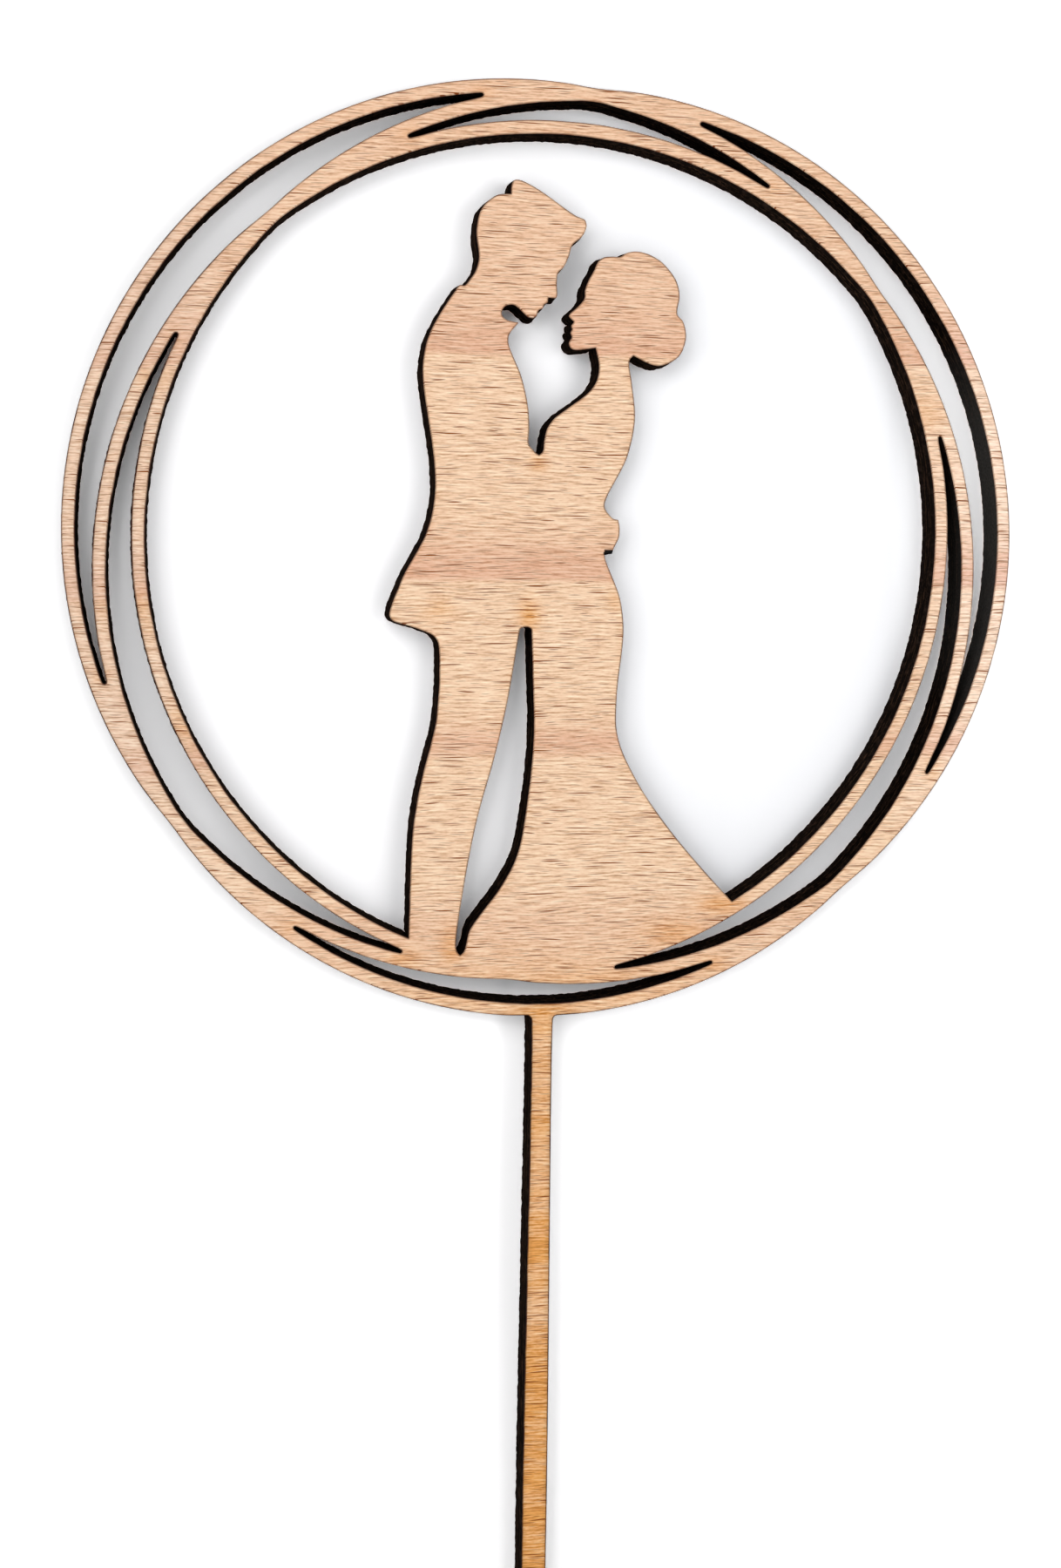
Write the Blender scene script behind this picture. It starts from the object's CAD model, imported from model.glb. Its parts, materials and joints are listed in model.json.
# cake topper laser cut from one sheet of three-ply beech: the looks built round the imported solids
import json
import math

import bmesh
import bpy
import numpy as np
from mathutils import Matrix, Vector, geometry, kdtree

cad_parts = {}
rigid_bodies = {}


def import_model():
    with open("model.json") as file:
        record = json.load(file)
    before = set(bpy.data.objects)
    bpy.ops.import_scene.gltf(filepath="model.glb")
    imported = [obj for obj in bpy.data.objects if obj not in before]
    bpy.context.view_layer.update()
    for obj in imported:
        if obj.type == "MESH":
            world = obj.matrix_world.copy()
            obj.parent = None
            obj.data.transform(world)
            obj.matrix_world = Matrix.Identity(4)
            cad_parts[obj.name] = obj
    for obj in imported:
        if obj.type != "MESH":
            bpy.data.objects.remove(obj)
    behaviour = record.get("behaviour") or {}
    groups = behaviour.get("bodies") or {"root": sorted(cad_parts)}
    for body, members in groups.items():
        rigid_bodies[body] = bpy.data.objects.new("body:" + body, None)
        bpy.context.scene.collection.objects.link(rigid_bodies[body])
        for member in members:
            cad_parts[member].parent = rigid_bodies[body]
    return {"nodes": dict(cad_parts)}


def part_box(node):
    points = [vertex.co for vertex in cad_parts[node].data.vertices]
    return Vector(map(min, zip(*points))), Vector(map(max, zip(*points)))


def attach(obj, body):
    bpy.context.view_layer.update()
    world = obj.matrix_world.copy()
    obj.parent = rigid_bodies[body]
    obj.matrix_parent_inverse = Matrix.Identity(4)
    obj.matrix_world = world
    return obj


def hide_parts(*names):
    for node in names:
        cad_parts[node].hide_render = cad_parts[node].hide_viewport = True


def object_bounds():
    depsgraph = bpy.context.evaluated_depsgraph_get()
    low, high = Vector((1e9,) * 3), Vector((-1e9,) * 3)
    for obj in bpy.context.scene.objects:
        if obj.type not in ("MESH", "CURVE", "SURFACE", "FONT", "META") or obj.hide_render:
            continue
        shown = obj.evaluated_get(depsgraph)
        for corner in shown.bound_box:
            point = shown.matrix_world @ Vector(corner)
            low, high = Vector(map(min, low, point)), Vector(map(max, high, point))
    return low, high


for spare in list(bpy.data.objects):
    bpy.data.objects.remove(spare)
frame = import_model()
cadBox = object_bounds()
mm = 0.001
ringMiddle = (0.0, 0.0, 49.5)    # mm
stage = bpy.context.scene
stage.view_settings.view_transform = "Standard"


# cut lines of the sheet

cutEdge = {
    "pitch": 0.15,         # mm between points along a cut
    "sharpTurn": 60.0,     # degrees, a turn past this stays a corner
    "arrisWidth": 0.17,    # singed rounding where face and cut meet
    "arrisDrop": 0.05,
    "arrisClear": 0.8,     # share of its width that a point of the arris keeps from every cut
    "arrisReach": 1.1,     # a point within this share of its width from a cut is on the arris
    "gridPitch": 0.5,      # mm between points inside a face
    "gridRow": 0.866,      # height of a row of these points, as a share of their pitch
    "gridMargin": 0.3,
    "flare": 0.23,         # mm, how far the cut closes in towards the back
    "closing": 0.85,       # share of the room that the flare may take
    "roomReach": 0.6,      # cuts nearer to each other than this share the room between them
    "ahead": 1e-4,         # mm, a cut this far in front of another one faces it
    "same": 1e-6,          # mm, points nearer than this are one
    "weld": 1e-7,          # metres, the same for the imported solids
    "frontFacing": 0.9,    # a face turned this much to the front is on the front
    "batch": 400,          # points tested at a time
}

# step under the hand, where the beam stood still and charred the wood
charStep = {
    "left": 5.8,           # mm
    "lean": 0.3,           # its left end slants by this much for its height
    "right": 7.1,
    "foot": 50.1,
    "top": 50.75,
    "soft": 0.12,          # fades out over this height
    "pitch": 0.1,
    "margin": 0.08,
}


def cutLoops(nodeName):
    work = bmesh.new()
    work.from_mesh(frame["nodes"][nodeName].data)
    bmesh.ops.remove_doubles(work, verts=work.verts, dist=cutEdge["weld"])
    work.normal_update()
    front = {face for face in work.faces if face.normal.y < -cutEdge["frontFacing"]}
    follow = {}
    for face in front:
        for corner in face.loops:
            if not any(other in front for other in corner.edge.link_faces if other is not face):
                follow[corner.vert] = corner.link_loop_next.vert
    loops = []
    for start in sorted(follow, key=lambda vert: (vert.co.x, vert.co.z)):
        if start not in follow:
            continue
        ring = []
        vert = start
        while vert in follow:
            ring.append((vert.co.x / mm, vert.co.z / mm))
            vert = follow.pop(vert)
        loops.append(np.array(ring))
    work.free()
    return loops


def turnsOf(points):
    before = points - np.roll(points, 1, axis=0)
    after = np.roll(points, -1, axis=0) - points
    cross = before[:, 0] * after[:, 1] - before[:, 1] * after[:, 0]
    return np.degrees(np.arctan2(cross, (before * after).sum(axis=1)))


def roundedSpan(a, b, c, d, shares):
    # centripetal Catmull-Rom from b to c
    t1 = math.sqrt(math.dist(a, b))
    t2 = t1 + math.sqrt(math.dist(b, c))
    t3 = t2 + math.sqrt(math.dist(c, d))
    t = (t1 + (t2 - t1) * shares)[:, None]
    ab = (t1 - t) / t1 * a + t / t1 * b
    bc = (t2 - t) / (t2 - t1) * b + (t - t1) / (t2 - t1) * c
    cd = (t3 - t) / (t3 - t2) * c + (t - t2) / (t3 - t2) * d
    abc = (t2 - t) / t2 * ab + t / t2 * bc
    bcd = (t3 - t) / (t3 - t1) * bc + (t - t1) / (t3 - t1) * cd
    return (t2 - t) / (t2 - t1) * abc + (t - t1) / (t2 - t1) * bcd


def refinedLoop(points):
    sharp = np.abs(turnsOf(points)) > cutEdge["sharpTurn"]
    count = len(points)
    spans = []
    for i in range(count):
        j = (i + 1) % count
        b, c = points[i], points[j]
        a = 2 * b - c if sharp[i] else points[i - 1]
        d = 2 * c - b if sharp[j] else points[(j + 1) % count]
        steps = max(1, round(math.dist(b, c) / cutEdge["pitch"]))
        spans.append(roundedSpan(a, b, c, d, np.arange(steps) / steps))
    return np.concatenate(spans)


def outwardOf(points):
    along = np.roll(points, -1, axis=0) - np.roll(points, 1, axis=0)
    away = np.stack([along[:, 1], -along[:, 0]], axis=1)
    return away / np.linalg.norm(away, axis=1, keepdims=True)


def pointsInside(loops):
    # rows of points between the cuts
    starts = np.concatenate(loops)
    ends = np.concatenate([np.roll(loop, -1, axis=0) for loop in loops])
    pitch = cutEdge["gridPitch"]
    found = []
    rows = np.arange(starts[:, 1].min() + pitch / 2, starts[:, 1].max(), pitch * cutEdge["gridRow"])
    for number, height in enumerate(rows):
        crossed = (starts[:, 1] <= height) != (ends[:, 1] <= height)
        a, b = starts[crossed], ends[crossed]
        across = np.sort(a[:, 0] + (height - a[:, 1]) / (b[:, 1] - a[:, 1]) * (b[:, 0] - a[:, 0]))
        for left, right in zip(across[0::2], across[1::2]):
            first = math.ceil(left / pitch) * pitch + (number % 2) * pitch / 2
            found.extend((x, height) for x in np.arange(first, right, pitch))
    return np.array(found)


def charredPoints():
    # a close grid over the charred step and the fade above it
    across = np.arange(charStep["left"], charStep["right"], charStep["pitch"])
    heights = np.arange(charStep["foot"], charStep["top"] + 2 * charStep["soft"], charStep["pitch"])
    return np.array([(x, z) for z in heights for x in across])


def charredAt(points):
    x, z = points[:, 0], points[:, 1]
    left = charStep["left"] + charStep["lean"] * (z - charStep["foot"])
    beside = (x > left) & (x < charStep["right"]) & (z > charStep["foot"])
    return beside * np.clip((charStep["top"] - z) / charStep["soft"], 0, 1)


class CutSheet:
    def __init__(self, nodeName):
        self.loops = [refinedLoop(points) for points in cutLoops(nodeName)]
        self.edge = np.concatenate(self.loops)
        self.outward = np.concatenate([outwardOf(loop) for loop in self.loops])
        self.tree = kdtree.KDTree(len(self.edge))
        for i, (x, z) in enumerate(self.edge):
            self.tree.insert((x, 0, z), i)
        self.tree.balance()
        inset = self.edge - self.outward * cutEdge["arrisWidth"]
        onArris = self.gaps(inset) > cutEdge["arrisWidth"] * cutEdge["arrisClear"]
        grid = pointsInside(self.loops)
        grid = grid[self.gaps(grid) > cutEdge["gridMargin"]]
        close = charredPoints()
        close = close[self.inWood(close) & (self.gaps(close) > charStep["margin"])]
        clear = (np.abs(grid[:, None] - close[None]).max(axis=2) > charStep["pitch"] / 2).all(axis=1)
        filling = np.concatenate([grid[clear], close])
        self.inner = np.concatenate([inset[onArris], filling])
        self.innerGap = self.gaps(self.inner)
        # flare of the points on the cut and of the ring of points just inside it
        self.edgeFlare = self.outward * self.easeOutside()[:, None]
        self.innerFlare = np.concatenate([self.edgeFlare[onArris], np.zeros_like(filling)])
        self.fullFace = self.triangles(np.concatenate([self.edge, self.inner]))
        self.bareFace = self.triangles(self.edge)

    def gaps(self, points):
        return np.array([self.tree.find((x, 0, z))[2] for x, z in points])

    def easeOutside(self):
        # less flare where the largest circle that fits outside the cut leaves no room for it
        room = np.full(len(self.edge), cutEdge["roomReach"])
        for i, (x, z) in enumerate(self.edge):
            near = [found[1] for found in self.tree.find_range((x, 0, z), cutEdge["roomReach"])]
            apart = self.edge[near] - self.edge[i]
            ahead = apart @ self.outward[i]
            facing = ahead > cutEdge["ahead"]
            if facing.any():
                circles = (apart[facing] ** 2).sum(axis=1) / (2 * ahead[facing])
                room[i] = min(room[i], circles.min())
        return np.clip(cutEdge["closing"] * room / cutEdge["flare"], 0, 1)

    def triangles(self, points):
        sides = []
        first = 0
        for loop in self.loops:
            last = first + len(loop)
            sides.extend((i, i + 1) for i in range(first, last - 1))
            sides.append((last - 1, first))
            first = last
        flat = [Vector((x, z)) for x, z in points]
        # kind 1 of result: triangles inside the cuts
        result = geometry.delaunay_2d_cdt(flat, sides, [], 1, cutEdge["same"])
        source = np.array([ids[0] for ids in result[3]])
        faces = source[np.array(result[2])]
        # a face with a corner off the cuts lies in the wood, the others are tested
        kept = (faces >= len(self.edge)).any(axis=1)
        kept[~kept] = self.inWood(points[faces[~kept]].mean(axis=1))
        return [tuple(face) for face in faces[kept].tolist()]

    def inWood(self, points):
        # an odd number of cuts lies to the left of a point in the wood
        starts = self.edge
        ends = np.concatenate([np.roll(loop, -1, axis=0) for loop in self.loops])
        level = ends[:, 1] == starts[:, 1]
        slope = (ends[:, 0] - starts[:, 0]) / np.where(level, 1.0, ends[:, 1] - starts[:, 1])
        kept = []
        for some in np.array_split(points, len(points) // cutEdge["batch"] + 1):
            x, z = some[:, :1], some[:, 1:]
            crossed = (starts[:, 1] <= z) != (ends[:, 1] <= z)
            left = starts[:, 0] + (z - starts[:, 1]) * slope < x
            kept.append((crossed & left).sum(axis=1) % 2 == 1)
        return np.concatenate(kept)


sheet = CutSheet("front_veneer")
print("cut lines:", len(sheet.loops), "loops,", len(sheet.edge), "edge points,",
      len(sheet.inner), "inner points,", len(sheet.fullFace), "face triangles")


# brown marks that the beam leaves on the faces

scorch = {
    # across, height, reach across, reach up, strength; all in mm but the last
    "legGapTop": (-2.1, 43.6, 1.2, 1.7, 0.85),
    "legGapFoot": (-10.0, 7.8, 1.5, 2.2, 0.6),
    "coatSmudge": (-11.8, 43.9, 1.8, 1.3, 0.35),
    "bodice": (-1.4, 59.9, 1.0, 1.0, 0.5),
    "skirtEdge": (7.3, 45.2, 1.2, 1.0, 0.5),
    "hemEnd": (20.0, 12.1, 3.2, 1.3, 0.65),
    "hem": (14.6, 8.9, 4.0, 1.7, 0.55),
    "foot": (-4.0, 6.4, 7.0, 2.0, 0.15),
    "stickRoot": (0.0, 0.4, 5.5, 1.6, 0.75),
    "lowerRing": (2.0, 2.6, 18.0, 3.4, 0.5),
    "leftHeel": (-15.4, 6.6, 2.4, 1.5, 0.45),
    "slotTop": (-8.0, 97.8, 1.6, 0.9, 0.35),
    "slotTopLeft": (-15.2, 93.3, 1.5, 0.9, 0.35),
    "slotTopRight": (23.4, 89.4, 1.3, 0.9, 0.3),
    "slotLeft": (-47.2, 36.9, 1.0, 1.4, 0.35),
    "slotUpperLeft": (-39.7, 71.6, 1.0, 1.2, 0.35),
    "strandUpperLeft": (-42.0, 67.6, 3.0, 1.6, 0.3),
    "strandLeft": (-43.8, 43.4, 4.5, 3.0, 0.42),
    "strandLowerLeft": (-38.2, 32.0, 2.2, 3.5, 0.42),
    "strandUpperRight": (41.2, 66.4, 3.0, 2.4, 0.35),
    "slotRight": (43.4, 27.0, 1.2, 1.6, 0.4),
    "slotLowerLeft": (-27.2, 10.1, 1.8, 1.0, 0.4),
    "slotLowerRight": (18.8, 5.6, 2.2, 1.2, 0.5),
}
scorchTone = {
    "edgeReach": 0.35,     # mm, glow along every cut
    "edgeGlow": 0.18,
    "stickFade": 5.0,      # mm, the stick's heat fades out over this height above its root
    "stickHalf": 5.0,      # and ends this far from its middle line, after fading over this width
    "stickSoft": 3.0,
    "rimEdge": 1.0,        # extra burn along the cuts of the stick and just inside them
    "rimInside": 0.1,
    "leftShare": 0.55,     # and this much of it along the cuts left of leftFrom, full after leftReach
    "leftFrom": -28.0,
    "leftReach": 12.0,
    # height in mm, strength there on the stick
    "stickBands": [
        (-80, 0.97), (-58, 0.97), (-52, 0.88), (-44.5, 0.88), (-42.5, 1.05), (-40.5, 0.88), (-36.5, 0.72),
        (-33, 0.5), (-29, 0.76), (-26.5, 1.0), (-23, 0.82), (-18, 0.6), (-15, 0.54), (-12.4, 0.6),
        (-11.2, 0.85), (-10, 0.62), (-8, 0.6), (-4, 0.56), (0, 0.64)],
}


def stickShare(points):
    # one on the stick, fading out above its root and beside it
    above = np.clip(1.0 - points[:, 1] / scorchTone["stickFade"], 0, 1)
    beside = np.clip((scorchTone["stickHalf"] - np.abs(points[:, 0])) / scorchTone["stickSoft"], 0, 1)
    return above * beside


def rimShare(points):
    # how much darker the cuts are burnt on the stick and along the left rim
    left = np.clip((scorchTone["leftFrom"] - points[:, 0]) / scorchTone["leftReach"], 0, 1)
    return np.maximum(stickShare(points), scorchTone["leftShare"] * left)


def scorchAt(points, gaps):
    heat = scorchTone["edgeGlow"] * np.exp(-gaps / scorchTone["edgeReach"])
    for across, height, reachAcross, reachUp, strength in scorch.values():
        far = ((points[:, 0] - across) / reachAcross) ** 2 + ((points[:, 1] - height) / reachUp) ** 2
        heat = np.maximum(heat, strength * np.exp(-far))
    heights, strengths = zip(*scorchTone["stickBands"])
    return np.maximum(heat, stickShare(points) * np.interp(points[:, 1], heights, strengths))


# node helpers

def lightValue(level):
    level = level / 255.0
    return level / 12.92 if level <= 0.04045 else ((level + 0.055) / 1.055) ** 2.4


def colour(red, green, blue):
    return (lightValue(red), lightValue(green), lightValue(blue), 1.0)


def feed(tree, socket, value):
    if isinstance(value, bpy.types.NodeSocket):
        tree.links.new(value, socket)
    else:
        socket.default_value = value


def node(tree, kind, inputs=None, **settings):
    made = tree.nodes.new(kind)
    for name, value in settings.items():
        setattr(made, name, value)
    for name, value in (inputs or {}).items():
        feed(tree, made.inputs[name], value)
    return made


def calc(tree, operation, *values, clamp=False):
    made = node(tree, "ShaderNodeMath", operation=operation, use_clamp=clamp)
    for socket, value in zip(made.inputs, values):
        feed(tree, socket, value)
    return made.outputs[0]


def total(tree, *values):
    # sum of numbers and sockets
    made = values[0]
    for value in values[1:]:
        made = calc(tree, "ADD", made, value)
    return made


def product(tree, *values):
    made = values[0]
    for value in values[1:]:
        made = calc(tree, "MULTIPLY", made, value)
    return made


def spread(tree, value, fromLow, fromHigh, toLow=0.0, toHigh=1.0, smooth=False):
    kind = "SMOOTHSTEP" if smooth else "LINEAR"
    made = node(tree, "ShaderNodeMapRange", interpolation_type=kind, clamp=True)
    for socket, item in zip(made.inputs, (value, fromLow, fromHigh, toLow, toHigh)):
        feed(tree, socket, item)
    return made.outputs[0]


def between(tree, share, low, high):
    # low where the share is none, high where it is one
    return spread(tree, share, 0.0, 1.0, low, high)


def blend(tree, mode, amount, first, second):
    made = node(tree, "ShaderNodeMix", data_type="RGBA", blend_type=mode, clamp_factor=True)
    feed(tree, made.inputs[0], amount)
    feed(tree, made.inputs[6], first)
    feed(tree, made.inputs[7], second)
    return made.outputs[2]


def ramp(tree, value, stops):
    made = node(tree, "ShaderNodeValToRGB", {"Fac": value})
    elements = made.color_ramp.elements
    while len(elements) < len(stops):
        elements.new(0.5)
    for element, (place, tone) in zip(elements, stops):
        element.position = place
        element.color = tone
    return made.outputs["Color"]


def point(tree, x=0.0, y=0.0, z=0.0):
    return node(tree, "ShaderNodeCombineXYZ", {"X": x, "Y": y, "Z": z}).outputs[0]


def vectorCalc(tree, operation, first, second, output="Vector"):
    made = node(tree, "ShaderNodeVectorMath", {0: first, 1: second}, operation=operation)
    return made.outputs[output]


def dotWith(tree, vector, weights):
    return vectorCalc(tree, "DOT_PRODUCT", vector, weights, "Value")


def distance(tree, first, second):
    return vectorCalc(tree, "DISTANCE", first, second, "Value")


def scaled(tree, vector, factor):
    made = node(tree, "ShaderNodeVectorMath", {0: vector, "Scale": factor}, operation="SCALE")
    return made.outputs["Vector"]


def sheetPlace(tree):
    # place on the object, and millimetres across the sheet and up it
    place = node(tree, "ShaderNodeTexCoord").outputs["Object"]
    return place, dotWith(tree, place, (1000, 0, 0)), dotWith(tree, place, (0, 0, 1000))


# most noise lies within the first span, nearly all within the second
mostNoise = (0.3, 0.7)
wideNoise = (0.2, 0.8)


def noise(tree, vector, detail=2.0, roughness=0.5):
    made = node(tree, "ShaderNodeTexNoise", {
        "Vector": vector, "Scale": 1.0, "Detail": detail, "Roughness": roughness})
    return made.outputs[0]


def swing(tree, value, reach):
    # noise turned into a shift to both sides
    return spread(tree, value, *wideNoise, -reach, reach)


def grain(tree, across, height, length, thickness, detail=1.0, roughness=0.5):
    # noise drawn out along the fibres, sizes in mm
    place = point(tree, calc(tree, "DIVIDE", across, length), calc(tree, "DIVIDE", height, thickness))
    return noise(tree, place, detail, roughness)


def newMaterial(name):
    made = bpy.data.materials.new(name)
    made.use_nodes = True
    made.node_tree.nodes.clear()
    return made, made.node_tree


bumpStrength = 0.5


def finishMaterial(tree, inputs, height=None, depth=0.0):
    shader = node(tree, "ShaderNodeBsdfPrincipled", inputs)
    if height is not None:
        bump = node(tree, "ShaderNodeBump", {"Height": height, "Strength": bumpStrength, "Distance": depth})
        tree.links.new(bump.outputs[0], shader.inputs["Normal"])
    output = node(tree, "ShaderNodeOutputMaterial")
    tree.links.new(shader.outputs[0], output.inputs["Surface"])


# beech face veneer

beech = {
    "lightFibre": colour(255, 235, 206),
    "midFibre": colour(239, 203, 170),
    "darkFibre": colour(182, 135, 96),
    "halo": colour(255, 234, 205),
    "fleck": colour(132, 62, 0),
    "paleSide": (1.12, 1.23, 1.43, 1.0),
    "paleFrom": 37.0,            # mm, the sheet grows paler from here to the right rim
    "paleTo": 50.0,
    "greySide": (0.95, 0.985, 1.08, 1.0),
    "growthBand": (0.86, 0.72, 0.71, 1.0),
    "amber": (0.87, 0.57, 0.23, 1.0),
    "singed": colour(70, 38, 28),
    "char": colour(4, 3, 3),
    # mm of grain for a metre of x, y and z; the part of y sets the two faces of the sheet apart
    "alongGrain": (1000, 7300, 0),
    "acrossGrain": (0, 3100, 1000),
    "fibre": (2.5, 0.18),        # mm along and across the grain
    "thread": (0.6, 0.14),
    "edging": 0.22,              # mm, a pale line runs this far beside a dark fibre
    "streak": (9.0, 0.8),
    "drift": (30.0, 16.0),
    "toneShares": (0.74, -0.22, 0.3, 0.18),    # of fibre, edging, thread and streak
    "toneSpan": (0.24, 0.76),    # dark and light fibre
    "wave": (20.0, 12.0),        # slow bend of the grain, and how far it goes in mm
    "waveDepth": 0.3,
    "curl": (3.6, 1.6),          # quick bend
    "curlDepth": 0.06,
    # height in mm, depth of the growth band there
    "bands": [
        (-80, 0.0), (0, 0.0), (6, 0.3), (10, 0.45), (15, 0.05), (28.4, 0.05), (28.8, 0.8), (30.2, 0.95),
        (31.8, 0.3), (34, 0.05), (47.1, 0.05), (47.5, 1.0), (49.4, 0.95), (51.8, 0.45), (55, 0.1),
        (66, 0.1), (70.85, 0.1), (71.25, 1.0), (73.5, 0.85), (77, 0.55), (82, 0.45), (88, 0.4),
        (99.5, 0.5)],
    "bandWave": 0.2,             # mm, how far a band follows the slow bend and its rim the fibres
    "bandFray": 0.12,
    "bandDrift": (0.25, 0.75, 0.85, 1.1),      # drift from and to, depth of a band there
    "sinkFrom": -24.0,           # mm, from here to the left rim the wood greys, the bands sink and fade
    "sinkTo": -48.0,
    "sink": 2.8,
    "bandLeft": 0.6,             # depth of the bands at the left rim
    "haloShare": 0.45,
    "heatPatch": (12.0, 2.2),    # mm, patches of heat, and their weakest and strongest
    "heatShare": (0.75, 1.25),
    "heatFibre": (0.36, 0.64, 1.3, 0.75),      # dark and light tone, heat there
    "burnPatch": 420.0,          # patches of the burnt line in a metre, weakest and strongest
    "burnShare": (0.65, 1.1),
    "burnCurve": 0.7,
    "rayDepth": 0.8,             # depth of a ray, where the fibres' relief is one
    "relief": 0.00002,           # metres
    "roughness": (0.66, 0.48),   # dark and light fibre
    "sheen": 0.08,
}
fleckForm = {
    "shift": 37.0,               # cells, the most that a row is shifted
    "lean": 0.03,                # rise for its length, at most
    "margin": 1.2,               # half thicknesses that a fleck keeps from the border of its row
    "haloFade": 0.45,            # its halo fades this much more slowly to the sides
    "soft": 0.4,
}
rayFlecks = {
    "row": 0.36,                 # mm, height of a row of cells and length of a cell
    "cell": 5.8,
    "halfLength": (0.7, 2.5),
    "halfThick": 0.09,
    "share": 0.26,               # of the cells that hold a fleck
    "strength": (0.75, 1.0),
    "seed": 3.0,
}
poreFlecks = {
    "row": 0.22,
    "cell": 3.2,
    "halfLength": (0.5, 1.5),
    "halfThick": 0.064,
    "share": 0.5,
    "strength": (0.2, 0.75),
    "seed": 11.0,
}


def offMiddle(tree, place, cell):
    # place in a cell of length one, from its middle
    return calc(tree, "SUBTRACT", calc(tree, "SUBTRACT", place, cell), 0.5)


def flecks(tree, across, along, size):
    # one spindle in a cell, in rows of cells that are shifted at random, and the halo beside it
    rowPlace = calc(tree, "DIVIDE", along, size["row"])
    row = calc(tree, "FLOOR", rowPlace)
    rowSeed = total(tree, row, size["seed"])
    shift = node(tree, "ShaderNodeTexWhiteNoise", {"W": rowSeed}, noise_dimensions="1D").outputs["Value"]
    cellPlace = calc(tree, "DIVIDE", across, size["cell"])
    cellPlace = total(tree, cellPlace, product(tree, shift, fleckForm["shift"]))
    column = calc(tree, "FLOOR", cellPlace)
    draws = []
    for step in (0.0, 0.5):
        cell = point(tree, column, row, size["seed"] + step)
        made = node(tree, "ShaderNodeTexWhiteNoise", {"Vector": cell}, noise_dimensions="3D")
        draws.extend(node(tree, "ShaderNodeSeparateColor", {"Color": made.outputs["Color"]}).outputs)
    halfLength = between(tree, draws[0], *size["halfLength"])
    room = size["cell"] / 2 - max(size["halfLength"])
    middle = between(tree, draws[1], -room, room)
    run = product(tree, offMiddle(tree, cellPlace, column), size["cell"])
    run = calc(tree, "SUBTRACT", run, middle)
    lean = product(tree, run, between(tree, draws[2], -fleckForm["lean"], fleckForm["lean"]))
    room = size["row"] / 2 - size["halfThick"] * fleckForm["margin"]
    rise = product(tree, offMiddle(tree, rowPlace, row), size["row"])
    rise = total(tree, rise, between(tree, draws[3], -room, room), lean)
    lengthwise = calc(tree, "POWER", calc(tree, "ABSOLUTE", calc(tree, "DIVIDE", run, halfLength)), 2.0)
    crosswise = calc(tree, "DIVIDE", calc(tree, "ABSOLUTE", rise), size["halfThick"])
    taper = calc(tree, "SUBTRACT", 1.0, lengthwise)
    body = calc(tree, "SUBTRACT", taper, crosswise)
    halo = calc(tree, "SUBTRACT", taper, product(tree, crosswise, fleckForm["haloFade"]))
    shown = calc(tree, "LESS_THAN", draws[4], size["share"])
    depth = product(tree, shown, between(tree, draws[5], *size["strength"]))
    return [product(tree, spread(tree, part, 0.0, fleckForm["soft"]), depth) for part in (body, halo)]


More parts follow.
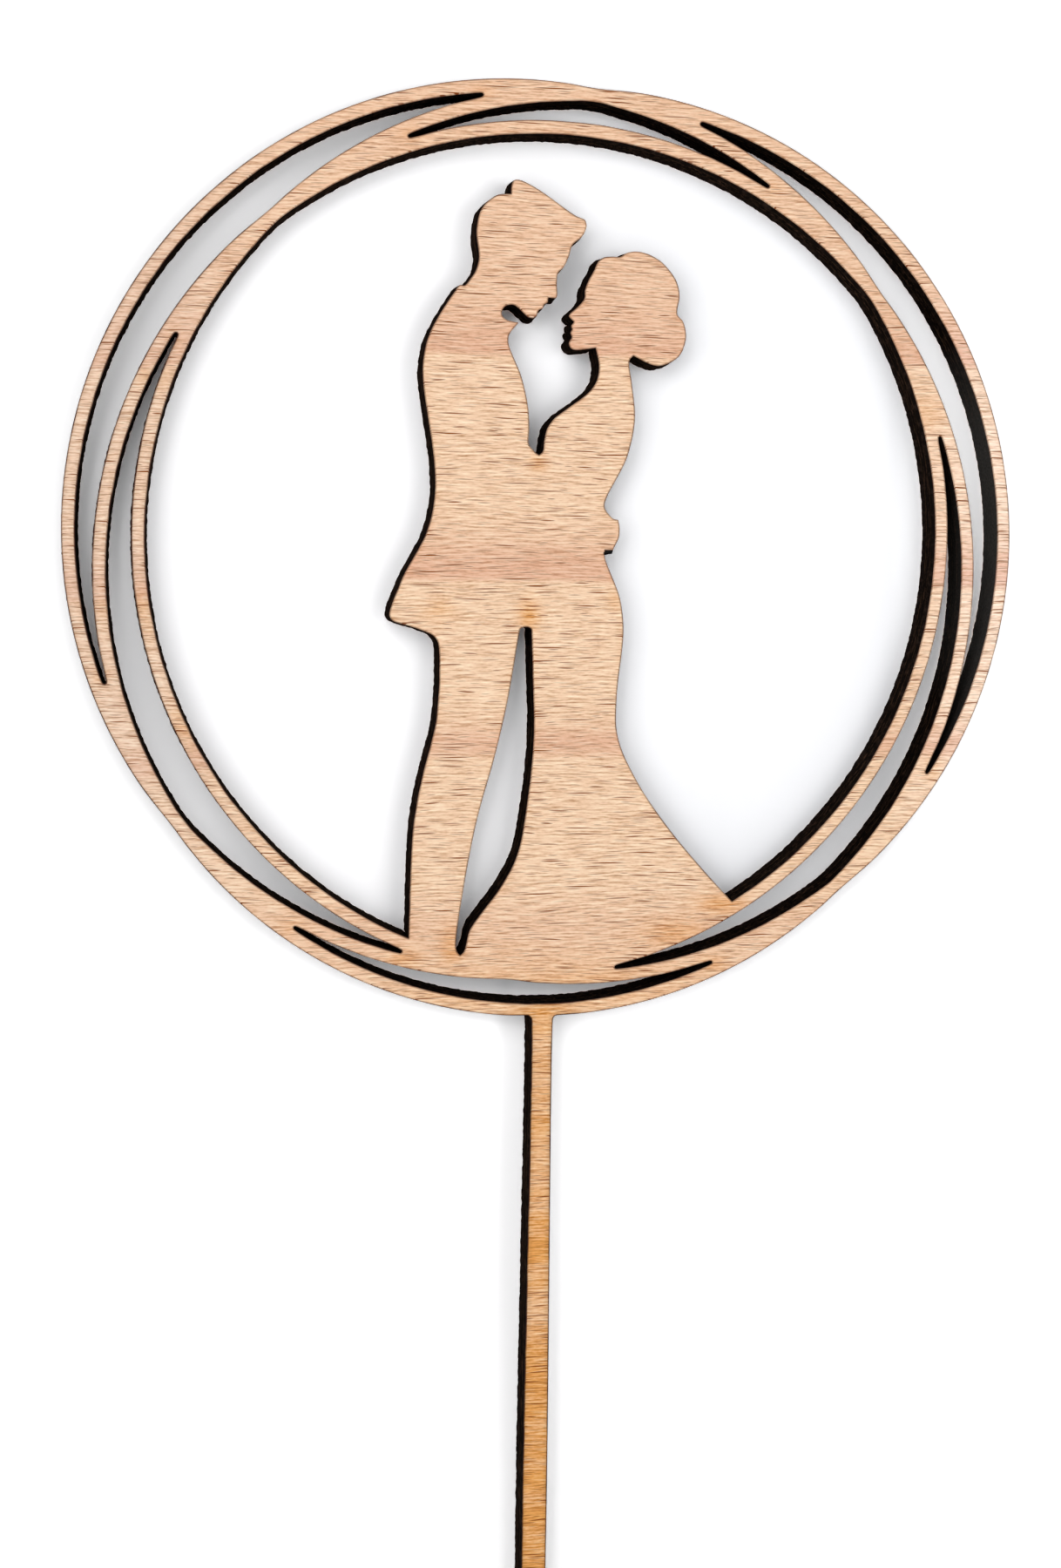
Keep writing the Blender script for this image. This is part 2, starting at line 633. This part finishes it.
def makeBeechFace():
    made, tree = newMaterial("beechFace")
    place, plainAcross, plainHeight = sheetPlace(tree)
    across = dotWith(tree, place, beech["alongGrain"])
    height = dotWith(tree, place, beech["acrossGrain"])
    slow = grain(tree, across, height, *beech["wave"])
    quick = grain(tree, across, height, *beech["curl"])
    waved = total(tree, height, swing(tree, slow, beech["waveDepth"]), swing(tree, quick, beech["curlDepth"]))
    fibre = grain(tree, across, waved, *beech["fibre"])
    edging = grain(tree, across, total(tree, waved, beech["edging"]), *beech["fibre"])
    thread = grain(tree, across, waved, *beech["thread"])
    streak = grain(tree, across, waved, *beech["streak"])
    shares = zip((fibre, edging, thread, streak), beech["toneShares"])
    tone = total(tree, *[product(tree, part, share) for part, share in shares])
    wood = ramp(tree, spread(tree, tone, *beech["toneSpan"]), [
        (0.0, beech["darkFibre"]), (0.5, beech["midFibre"]), (1.0, beech["lightFibre"])])
    side = spread(tree, plainAcross, beech["paleFrom"], beech["paleTo"], smooth=True)
    wood = blend(tree, "MULTIPLY", side, wood, beech["paleSide"])
    leftward = spread(tree, plainAcross, beech["sinkFrom"], beech["sinkTo"], smooth=True)
    wood = blend(tree, "MULTIPLY", leftward, wood, beech["greySide"])
    # growth bands across the sheet
    bandHeight = total(tree, plainHeight, swing(tree, slow, beech["bandWave"]),
                       swing(tree, fibre, beech["bandFray"]), product(tree, leftward, beech["sink"]))
    low, high = beech["bands"][0][0], beech["bands"][-1][0]
    band = ramp(tree, spread(tree, bandHeight, low, high), [
        ((z - low) / (high - low), (depth, depth, depth, 1.0)) for z, depth in beech["bands"]])
    drift = grain(tree, across, height, *beech["drift"])
    band = product(tree, band, spread(tree, drift, *beech["bandDrift"]),
                   between(tree, leftward, 1.0, beech["bandLeft"]))
    wood = blend(tree, "MULTIPLY", band, wood, beech["growthBand"])
    # rays and pores
    rays, besideRays = flecks(tree, across, waved, rayFlecks)
    pores, besidePores = flecks(tree, across, waved, poreFlecks)
    pale = product(tree, calc(tree, "MAXIMUM", besideRays, besidePores), beech["haloShare"])
    wood = blend(tree, "MIX", pale, wood, beech["halo"])
    wood = blend(tree, "MIX", calc(tree, "MAXIMUM", rays, pores), wood, beech["fleck"])
    # heat of the beam, more in the dark fibres
    heat = node(tree, "ShaderNodeAttribute", attribute_name="scorch").outputs["Fac"]
    uneven = grain(tree, across, height, *beech["heatPatch"])
    heat = product(tree, heat, spread(tree, uneven, *mostNoise, *beech["heatShare"]))
    heat = calc(tree, "MULTIPLY", heat, spread(tree, tone, *beech["heatFibre"]), clamp=True)
    wood = blend(tree, "MULTIPLY", heat, wood, beech["amber"])
    # burnt line along the cuts, black where the beam stood
    burn = node(tree, "ShaderNodeAttribute", attribute_name="burn").outputs["Fac"]
    patchy = noise(tree, scaled(tree, place, beech["burnPatch"]))
    line = calc(tree, "POWER", calc(tree, "MINIMUM", burn, 1.0), beech["burnCurve"])
    line = product(tree, line, spread(tree, patchy, *mostNoise, *beech["burnShare"]))
    wood = blend(tree, "MIX", line, wood, beech["singed"])
    wood = blend(tree, "MIX", calc(tree, "SUBTRACT", burn, 1.0, clamp=True), wood, beech["char"])
    relief = calc(tree, "SUBTRACT", fibre, product(tree, rays, beech["rayDepth"]))
    finishMaterial(tree, {
        "Base Color": wood, "Roughness": spread(tree, tone, *mostNoise, *beech["roughness"]),
        "Specular IOR Level": beech["sheen"]}, relief, beech["relief"])
    return made


# walls of the cut

charred = {
    "soot": colour(20, 15, 13),
    "crust": colour(46, 35, 30),
    "coreDark": colour(17, 13, 11),
    "coreBrown": colour(64, 46, 36),
    "glueDark": colour(26, 19, 14),
    "glueLight": colour(82, 62, 42),
    "ash": colour(66, 64, 62),
    "ashFrom": (44.0, 48.5),     # mm, grey ash grows on the walls here towards the right
    "ashEnd": (50.3, 50.9),      # and ends this far from the ring's middle
    "ashShare": (0.5, 1.0),      # least and most of it in the crackle
    "crackle": 0.22,             # mm
    "crackleNoise": (2.0, 0.6),  # detail and roughness
    "patchNoise": (3.0, 0.6),
    "patchShare": 0.75,          # share of the tone that follows the patches, the rest follows the crackle
    "toneSpan": (0.35, 0.7),
    "relief": 0.00003,           # metres
    "roughness": (0.8, 0.97),
}
# dark and light tone, lengths of its patches in mm along x, y and z, share of the light tone
walls = {
    "sootyWall": ("soot", "crust", (0.6, 2.0, 0.6), 0.6),
    "coreWall": ("coreDark", "coreBrown", (0.5, 0.4, 2.4), 0.55),
    "glueFilm": ("glueDark", "glueLight", (1.2, 0.5, 1.2), 0.8),
}


def makeWall(name):
    made, tree = newMaterial(name)
    dark, light, patchSize, lightShare = walls[name]
    place, plainAcross, plainHeight = sheetPlace(tree)
    patchPlace = vectorCalc(tree, "MULTIPLY", place, tuple(1000 / length for length in patchSize))
    patch = noise(tree, patchPlace, *charred["patchNoise"])
    crackle = noise(tree, scaled(tree, place, 1000 / charred["crackle"]), *charred["crackleNoise"])
    amount = total(tree, product(tree, patch, charred["patchShare"]),
                   product(tree, crackle, 1.0 - charred["patchShare"]))
    tone = ramp(tree, spread(tree, amount, *charred["toneSpan"]), [
        (0.0, charred[dark]), (1.0 - lightShare, charred[dark]), (1.0, charred[light])])
    far = distance(tree, point(tree, plainAcross, 0.0, plainHeight), ringMiddle)
    dusty = product(tree, spread(tree, plainAcross, *charred["ashFrom"]),
                    spread(tree, far, *charred["ashEnd"], 1.0, 0.0),
                    spread(tree, crackle, *mostNoise, *charred["ashShare"]))
    tone = blend(tree, "MIX", dusty, tone, charred["ash"])
    finishMaterial(tree, {
        "Base Color": tone, "Roughness": spread(tree, crackle, *mostNoise, *charred["roughness"]),
        "Specular IOR Level": 0.0}, crackle, charred["relief"])
    return made


beechFace = makeBeechFace()
sootyWall, coreWall, glueFilm = [makeWall(name) for name in walls]
print("materials:", ", ".join(item.name for item in (beechFace, sootyWall, coreWall, glueFilm)))


# one ply cut through: a node tree turns its face into a closed layer with flared, rippled walls

ply = {
    "rows": 2,              # rows of faces down the wall of one ply
    "ripplePitch": 0.5,     # mm between the ridges that the beam leaves
    "rippleShare": 0.45,    # share of the flare that the ripples take away
    "rippleDraw": 0.12,     # their noise sees only this share of the depth, so they run down the wall
    "seed": 4.0,
    "weld": 1e-6,           # metres
    "faceTurn": 0.5,        # a face turned this much to the front or the back is no wall
    "sharpAngle": 34.0,     # degrees
}


def ownValue(tree, name, kind):
    return node(tree, "GeometryNodeInputNamedAttribute", {"Name": name}, data_type=kind).outputs[0]


def layerTree():
    tree = bpy.data.node_groups.new("cutThrough", "GeometryNodeTree")
    tree.is_modifier = True
    sockets = {}
    for name, kind in (("Geometry", "Geometry"), ("Wall depth", "Float"), ("Sheet front", "Float"),
                       ("Sheet thickness", "Float"), ("Flare", "Float"), ("Ripple pitch", "Float"),
                       ("Ripple share", "Float"), ("Seed", "Float"),
                       ("Face finish", "Material"), ("Wall finish", "Material")):
        made = tree.interface.new_socket(name, in_out="INPUT", socket_type="NodeSocket" + kind)
        sockets[name] = made.identifier
    tree.interface.new_socket("Geometry", in_out="OUTPUT", socket_type="NodeSocketGeometry")
    given = node(tree, "NodeGroupInput").outputs
    # rows of wall from the rim of the face that the cut starts from
    neighbours = node(tree, "GeometryNodeInputMeshEdgeNeighbors").outputs[0]
    rim = node(tree, "FunctionNodeCompare", {2: neighbours, 3: 1}, data_type="INT", operation="EQUAL")
    starts = calc(tree, "GREATER_THAN", ownValue(tree, "cutFrom", "FLOAT"), 0.5)
    chosen = node(tree, "FunctionNodeBooleanMath", {0: rim.outputs[0], 1: starts}, operation="AND")
    step = point(tree, 0.0, calc(tree, "DIVIDE", given["Wall depth"], float(ply["rows"])), 0.0)
    body, selection = given["Geometry"], chosen.outputs[0]
    for row in range(ply["rows"]):
        pushed = node(tree, "GeometryNodeExtrudeMesh", {
            "Mesh": body, "Selection": selection, "Offset": step, "Offset Scale": 1.0}, mode="EDGES")
        body, selection = pushed.outputs["Mesh"], pushed.outputs["Top"]
    body = node(tree, "GeometryNodeMergeByDistance", {"Geometry": body, "Distance": ply["weld"]}).outputs[0]
    # the cut closes in towards the back, in ripples that run down the wall
    place = node(tree, "GeometryNodeInputPosition").outputs[0]
    depth = calc(tree, "SUBTRACT", dotWith(tree, place, (0, 1, 0)), given["Sheet front"])
    share = calc(tree, "DIVIDE", depth, given["Sheet thickness"], clamp=True)
    drawn = vectorCalc(tree, "MULTIPLY", place, (1.0, ply["rippleDraw"], 1.0))
    spaced = vectorCalc(tree, "DIVIDE", drawn, point(tree, *[given["Ripple pitch"]] * 3))
    ridge = node(tree, "ShaderNodeTexNoise", {
        "Vector": spaced, "W": given["Seed"], "Scale": 1.0, "Detail": 1.0,
        "Roughness": 0.5}, noise_dimensions="4D").outputs[0]
    ridge = spread(tree, ridge, *mostNoise, calc(tree, "SUBTRACT", 1.0, given["Ripple share"]), 1.0)
    push = product(tree, ridge, share, given["Flare"])
    moved = scaled(tree, ownValue(tree, "outward", "FLOAT_VECTOR"), push)
    body = node(tree, "GeometryNodeSetPosition", {"Geometry": body, "Offset": moved}).outputs[0]
    # finishes
    normal = node(tree, "GeometryNodeInputNormal").outputs[0]
    facing = calc(tree, "ABSOLUTE", dotWith(tree, normal, (0, 1, 0)))
    isFace = calc(tree, "GREATER_THAN", facing, ply["faceTurn"])
    body = node(tree, "GeometryNodeRealizeInstances", {"Geometry": body}).outputs[0]
    body = node(tree, "GeometryNodeSetMaterial", {
        "Geometry": body, "Material": given["Wall finish"]}).outputs[0]
    body = node(tree, "GeometryNodeSetMaterial", {
        "Geometry": body, "Selection": isFace, "Material": given["Face finish"]}).outputs[0]
    tree.links.new(body, node(tree, "NodeGroupOutput").inputs[0])
    return tree, sockets


cutThrough, cutSockets = layerTree()
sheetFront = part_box("front_veneer")[0].y
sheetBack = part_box("back_veneer")[1].y


def capPoints(points, depth):
    return [(x * mm, depth, z * mm) for x, z in points]


def blankMesh(name, start, end, drop, full):
    # face that the cut starts from, with its arris where it is in sight, and the plain face that it ends at
    edgeCount = len(sheet.edge)
    inner = sheet.inner if full else sheet.inner[:0]
    verts = capPoints(sheet.edge, start + drop) + capPoints(inner, start) + capPoints(sheet.edge, end)
    capFaces = sheet.fullFace if full else sheet.bareFace
    farFirst = edgeCount + len(inner)
    farFaces = [tuple(i + farFirst for i in face) for face in sheet.bareFace]
    if end > start:
        farFaces = [face[::-1] for face in farFaces]
    else:
        capFaces = [face[::-1] for face in capFaces]
    mesh = bpy.data.meshes.new(name)
    mesh.from_pydata(verts, [], capFaces + farFaces)
    # what the node tree and the finishes read
    away = np.zeros((len(verts), 3))
    away[:edgeCount, [0, 2]] = sheet.edgeFlare
    away[farFirst:, [0, 2]] = sheet.edgeFlare
    cutFrom, burn, heat = np.zeros((3, len(verts)))
    cutFrom[:farFirst] = 1.0
    rim = scorchTone["rimEdge"] * rimShare(sheet.edge)
    burn[:edgeCount] = 1.0 + np.maximum(charredAt(sheet.edge), rim)
    heat[:edgeCount] = scorchAt(sheet.edge, np.zeros(edgeCount))
    if full:
        away[edgeCount:farFirst, [0, 2]] = sheet.innerFlare
        onArris = sheet.innerGap < cutEdge["arrisWidth"] * cutEdge["arrisReach"]
        rim = scorchTone["rimInside"] * rimShare(inner) * onArris
        burn[edgeCount:farFirst] = np.maximum(2.0 * charredAt(inner), rim)
        heat[edgeCount:farFirst] = scorchAt(inner, sheet.innerGap)
    mesh.attributes.new("outward", "FLOAT_VECTOR", "POINT").data.foreach_set("vector", away.ravel())
    for key, values in (("cutFrom", cutFrom), ("burn", burn), ("scorch", heat)):
        mesh.attributes.new(key, "FLOAT", "POINT").data.foreach_set("value", values)
    return mesh


def makeLayer(name, nodeName, faceFinish, wallFinish, shows):
    # shows says which face is in sight: front, back or none
    low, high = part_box(nodeName)
    start, end = (high.y, low.y) if shows == "back" else (low.y, high.y)
    towards = 1.0 if end > start else -1.0
    full = shows != "none"
    drop = cutEdge["arrisDrop"] * mm * towards if full else 0.0
    blank = bpy.data.objects.new(name + "Blank", blankMesh(name, start, end, drop, full))
    stage.collection.objects.link(blank)
    cutter = blank.modifiers.new("cut", "NODES")
    cutter.node_group = cutThrough
    for key, value in (("Wall depth", end - start - drop), ("Sheet front", sheetFront),
                       ("Sheet thickness", sheetBack - sheetFront), ("Flare", cutEdge["flare"] * mm),
                       ("Ripple pitch", ply["ripplePitch"] * mm), ("Ripple share", ply["rippleShare"]),
                       ("Seed", ply["seed"]), ("Face finish", faceFinish), ("Wall finish", wallFinish)):
        cutter[cutSockets[key]] = value
    seen = blank.evaluated_get(bpy.context.evaluated_depsgraph_get())
    solid = bpy.data.meshes.new_from_object(seen)
    blank.modifiers.remove(cutter)
    bpy.data.objects.remove(blank)
    work = bmesh.new()
    work.from_mesh(solid)
    bmesh.ops.recalc_face_normals(work, faces=work.faces)
    openEdges = sum(1 for edge in work.edges if len(edge.link_faces) != 2)
    work.to_mesh(solid)
    work.free()
    solid.shade_smooth()
    solid.set_sharp_from_angle(angle=math.radians(ply["sharpAngle"]))
    solid.name = name
    piece = bpy.data.objects.new(name, solid)
    stage.collection.objects.link(piece)
    print("layer", name, len(solid.polygons), "faces, open edges", openEdges)
    return piece


layers = (
    ("frontVeneer", "front_veneer", "beech_face", beechFace, sootyWall, "front"),
    ("frontGlueLine", "front_glue_line", "glue", glueFilm, glueFilm, "none"),
    ("coreVeneer", "core_veneer", "core_wood", coreWall, coreWall, "none"),
    ("rearGlueLine", "rear_glue_line", "glue", glueFilm, glueFilm, "none"),
    ("backVeneer", "back_veneer", "beech_face", beechFace, sootyWall, "back"),
)
for name, nodeName, slotName, faceFinish, wallFinish, shows in layers:
    piece = makeLayer(name, nodeName, faceFinish, wallFinish, shows)
    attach(piece, "root")
    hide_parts(nodeName)


# stage: pale floor under the stick, white paper behind the sheet

studio = {
    "floorTone": colour(240, 240, 240),
    "floorShade": (0.985, 0.985, 0.985, 1.0),
    "floorPatch": 40.0,         # patches in a metre
    "floorNoise": (3.0, 0.6),   # detail and roughness
    "floorRoughness": 0.8,
    "floorSheen": 0.1,
    "floorWidth": 6.0,          # metres
    "floorGap": 0.0001,
    "paperTone": (0.9, 0.9, 0.9, 1.0),
    # the paper as the camera sees it, past white as in a bright photo: inside the ring and outside it
    "paperInside": (1.2, 1.195, 1.21, 1.0),
    "paperOutside": (1.41, 1.405, 1.415, 1.0),
    "paperDim": (1.03, 1.035, 1.06, 1.0),
    "paperRight": (1.72, 1.71, 1.72, 1.0),
    "dimSide": (-0.004, 0.02),      # metres, the paper inside grows dimmer here towards the right
    "brightSide": (0.039, 0.049),   # and bright here
    # faint shades on the paper: across, height, reach across, reach up in metres, tone
    "shades": ((-0.0036, -0.02, 0.0018, 0.05, 0.84), (0.0018, -0.03, 0.0013, 0.06, 1.13),
               (0.0, 0.0035, 0.02, 0.004, 0.72)),
    "ringSpan": (0.040, 0.054),     # metres from the ring's middle, the paper turns from inside to outside
    "paperWidth": 0.9,
    "paperTop": 0.7,
    "paperGap": 0.00002,
    "thinRay": 0.0006,          # diffuse rays shorter than this pass the paper
    "skyFront": 0.272,          # even light from the front half of the room and from the back half
    "skyBack": 1.25,
    "skyTurn": (0.0, 0.3),      # depth on a sky of radius one where they meet
    "lampAim": (0.0, 0.0, 0.03),
}
# soft boxes in front of the sheet: place in metres, width in metres, watts
lamps = {
    "leftLamp": ((-0.339, -0.484, 0.134), 0.35, 0.99),
    "topLamp": ((-0.060, -0.341, 0.230), 0.2, 0.28),
    "rightLamp": ((0.199, -0.345, 0.065), 0.2, 0.365),
}


def flatSheet(name, corners, material):
    mesh = bpy.data.meshes.new(name)
    mesh.from_pydata(corners, [], [(0, 1, 2, 3)])
    mesh.materials.append(material)
    made = bpy.data.objects.new(name, mesh)
    stage.collection.objects.link(made)


def makeFloorTone():
    made, tree = newMaterial("paleFloor")
    place = node(tree, "ShaderNodeTexCoord").outputs["Object"]
    patch = noise(tree, scaled(tree, place, studio["floorPatch"]), *studio["floorNoise"])
    shade = spread(tree, patch, *mostNoise)
    finishMaterial(tree, {
        "Base Color": blend(tree, "MULTIPLY", shade, studio["floorTone"], studio["floorShade"]),
        "Roughness": studio["floorRoughness"], "Specular IOR Level": studio["floorSheen"]})
    return made


def shownRay(tree, path):
    # one for the rays that show the background: camera, glossy and transmitted ones
    shown = calc(tree, "MAXIMUM", path["Is Camera Ray"], path["Is Glossy Ray"])
    return calc(tree, "MAXIMUM", shown, path["Is Transmission Ray"])


def makePaper():
    made, tree = newMaterial("whitePaper")
    path = node(tree, "ShaderNodeLightPath").outputs
    plain = node(tree, "ShaderNodeBsdfDiffuse", {"Color": studio["paperTone"]}).outputs[0]
    place = node(tree, "ShaderNodeTexCoord").outputs["Object"]
    far = distance(tree, place, tuple(Vector(ringMiddle) * mm))
    across = dotWith(tree, place, (1, 0, 0))
    rightward = spread(tree, across, *studio["dimSide"])
    bright = blend(tree, "MIX", rightward, studio["paperInside"], studio["paperDim"])
    outside = spread(tree, far, *studio["ringSpan"], smooth=True)
    bright = blend(tree, "MIX", outside, bright, studio["paperOutside"])
    rightward = spread(tree, across, *studio["brightSide"])
    bright = blend(tree, "MIX", rightward, bright, studio["paperRight"])
    for middle, height, reachAcross, reachUp, tone in studio["shades"]:
        x = dotWith(tree, place, (1 / reachAcross, 0, 0))
        z = dotWith(tree, place, (0, 0, 1 / reachUp))
        far = distance(tree, point(tree, x, 0.0, z), (middle / reachAcross, 0, height / reachUp))
        shade = spread(tree, far, 0.0, 1.0, 1.0, 0.0, smooth=True)
        bright = blend(tree, "MULTIPLY", shade, bright, (tone, tone, tone, 1.0))
    seen = node(tree, "ShaderNodeBsdfDiffuse", {"Color": bright}).outputs[0]
    clear = node(tree, "ShaderNodeBsdfTransparent").outputs[0]
    paper = node(tree, "ShaderNodeMixShader", {0: shownRay(tree, path), 1: plain, 2: seen}).outputs[0]
    # clear from behind, for shadows and for short diffuse rays
    thin = calc(tree, "LESS_THAN", path["Ray Length"], studio["thinRay"])
    thin = calc(tree, "MULTIPLY", thin, path["Is Diffuse Ray"])
    behind = node(tree, "ShaderNodeNewGeometry").outputs["Backfacing"]
    gone = calc(tree, "MAXIMUM", calc(tree, "MAXIMUM", behind, path["Is Shadow Ray"]), thin)
    mixed = node(tree, "ShaderNodeMixShader", {0: gone, 1: paper, 2: clear}).outputs[0]
    output = node(tree, "ShaderNodeOutputMaterial")
    tree.links.new(mixed, output.inputs["Surface"])
    return made


def makeSky():
    made = bpy.data.worlds.new("studioSky")
    made.use_nodes = True
    tree = made.node_tree
    tree.nodes.clear()
    path = node(tree, "ShaderNodeLightPath").outputs
    backward = dotWith(tree, node(tree, "ShaderNodeTexCoord").outputs["Generated"], (0, 1, 0))
    strength = spread(tree, backward, *studio["skyTurn"], studio["skyFront"], studio["skyBack"], smooth=True)
    strength = between(tree, shownRay(tree, path), strength, 1.0)
    light = node(tree, "ShaderNodeBackground", {"Color": (1.0, 1.0, 1.0, 1.0), "Strength": strength})
    tree.links.new(light.outputs[0], node(tree, "ShaderNodeOutputWorld").inputs["Surface"])
    return made


floorHeight = cadBox[0].z - studio["floorGap"]
half = studio["floorWidth"] / 2
flatSheet("floor", [(-half, -half, floorHeight), (half, -half, floorHeight),
                    (half, half, floorHeight), (-half, half, floorHeight)], makeFloorTone())
half = studio["paperWidth"] / 2
back = cadBox[1].y + studio["paperGap"]
flatSheet("paper", [(-half, back, floorHeight), (half, back, floorHeight),
                    (half, back, studio["paperTop"]), (-half, back, studio["paperTop"])], makePaper())

stage.world = makeSky()
for name, (place, width, power) in lamps.items():
    softBox = bpy.data.lights.new(name, "AREA")
    softBox.size = width
    softBox.energy = power
    lamp = bpy.data.objects.new(name, softBox)
    lamp.location = place
    lamp.rotation_euler = (Vector(studio["lampAim"]) - lamp.location).to_track_quat("-Z", "Y").to_euler()
    lamp.visible_camera = False
    stage.collection.objects.link(lamp)
print("lamps:", ", ".join(lamps))


# camera at the photograph's viewing angle

view = {
    "place": (-39.10, -242.77, 49.73),   # mm
    "aim": (-1.69, -2.0, 25.45),
    "roll": 0.875,                       # degrees, right side up
    "lens": 52.14,                       # mm, on a frame of this height
    "frameHeight": 36.0,
    "near": 0.005,                       # metres
}
lens = bpy.data.cameras.new("camera")
lens.sensor_fit = "VERTICAL"
lens.sensor_height = view["frameHeight"]
lens.lens = view["lens"]
lens.clip_start = view["near"]
camera = bpy.data.objects.new("camera", lens)
stage.collection.objects.link(camera)
eye = Vector(view["place"]) * mm
forward = (Vector(view["aim"]) * mm - eye).normalized()
level = forward.cross(Vector((0, 0, 1))).normalized()
tilt = math.radians(view["roll"])
right = level * math.cos(tilt) + level.cross(forward) * math.sin(tilt)
upward = right.cross(forward)
turned = Matrix((right, upward, -forward)).transposed().to_4x4()
camera.matrix_world = Matrix.Translation(eye) @ turned
stage.camera = camera
print("camera set")
